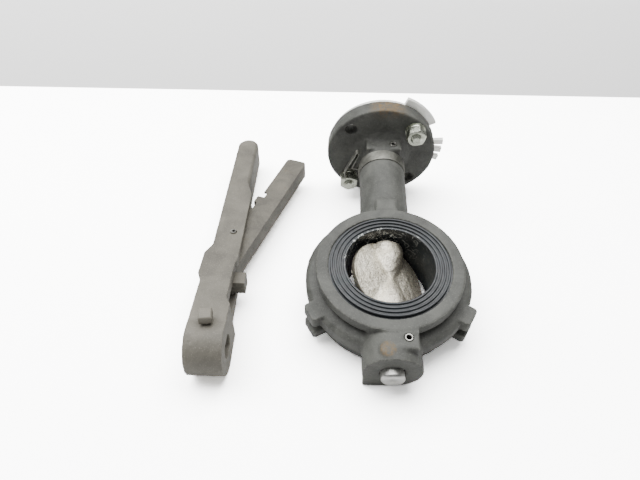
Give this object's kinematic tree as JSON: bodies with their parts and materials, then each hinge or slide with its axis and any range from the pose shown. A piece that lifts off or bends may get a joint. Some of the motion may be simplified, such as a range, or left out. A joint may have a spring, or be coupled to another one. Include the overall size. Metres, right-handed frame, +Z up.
{
  "type": "butterfly valve",
  "caption": "Wafer butterfly valve with ribbed rubber seat, turning disc, flanged neck and notch plate, its squeeze-lever handle taken off beside it.",
  "frame": {"origin": "Centre of the assembly's footprint on the surface that the valve and its handle lie on.", "axes": "+Z up from that surface, +Y along the stem towards the top flange (the stem itself is tilted up by 7.4 degrees), +X across the valve; the handle lies on the -X side."},
  "size_m": [0.212, 0.2742, 0.1047],
  "materials": {
    "painted_iron": "grey primer over rough sand casting",
    "seat_rubber": "matt black moulded rubber",
    "bushing": "smooth acetal",
    "seal_rubber": "smooth rubber",
    "pin_steel": "dull spring steel",
    "plated_steel": "zinc plated sheet",
    "fastener_zinc": "bright zinc plating",
    "strap_steel": "bright sheet steel",
    "disc_nickel": "cast and nickel plated, rough",
    "stem_steel": "ground stainless steel",
    "handle_iron": "warm grey primer over sand casting",
    "trigger_iron": "warm grey primer over sand casting",
    "spring_steel": "bright spring wire"
  },
  "bodies": {
    "valve_body": {"body_casting": "painted_iron", "seat_liner": "seat_rubber", "neck_lower_bushing": "bushing", "neck_stem_seal": "seal_rubber", "neck_top_bushing": "bushing", "neck_top_seal": "seal_rubber", "lower_stem_bushing": "bushing", "lower_boss_bushing": "bushing", "neck_roll_pin": "pin_steel", "boss_roll_pin": "pin_steel", "notch_plate": "plated_steel", "plate_bolts": "fastener_zinc", "plate_nuts": "fastener_zinc", "split_washers": "fastener_zinc", "upper_flat_washer": "fastener_zinc", "neck_strap": "strap_steel"},
    "disc_assembly": {"disc": "disc_nickel", "upper_stem": "stem_steel", "lower_stem": "stem_steel"},
    "handle": {"handle_casting": "handle_iron", "handle_set_screw": "handle_iron", "trigger_pivot_pin": "pin_steel", "trigger_spring": "spring_steel"},
    "trigger": {"trigger": "trigger_iron"}
  },
  "joints": [
    {"name": "disc_turn", "type": "hinge", "parent": "valve_body", "child": "disc_assembly", "pos_m": [0.042, -0.0539, 0.0314], "axis": [0, 0.9916, 0.1296], "range_deg": [-33, 57]},
    {"name": "handle_lift", "type": "slide", "parent": "valve_body", "child": "handle", "axis": [0, 0, 1], "range_m": [0, 0.15]},
    {"name": "trigger_squeeze", "type": "hinge", "parent": "handle", "child": "trigger", "pos_m": [-0.086, -0.0059, 0.021], "axis": [0, 0, 1], "range_deg": [0, 11], "stiffness_Nm_per_rad": 2, "springref_deg": -5.73, "deforming": ["trigger_spring"]}
  ]
}
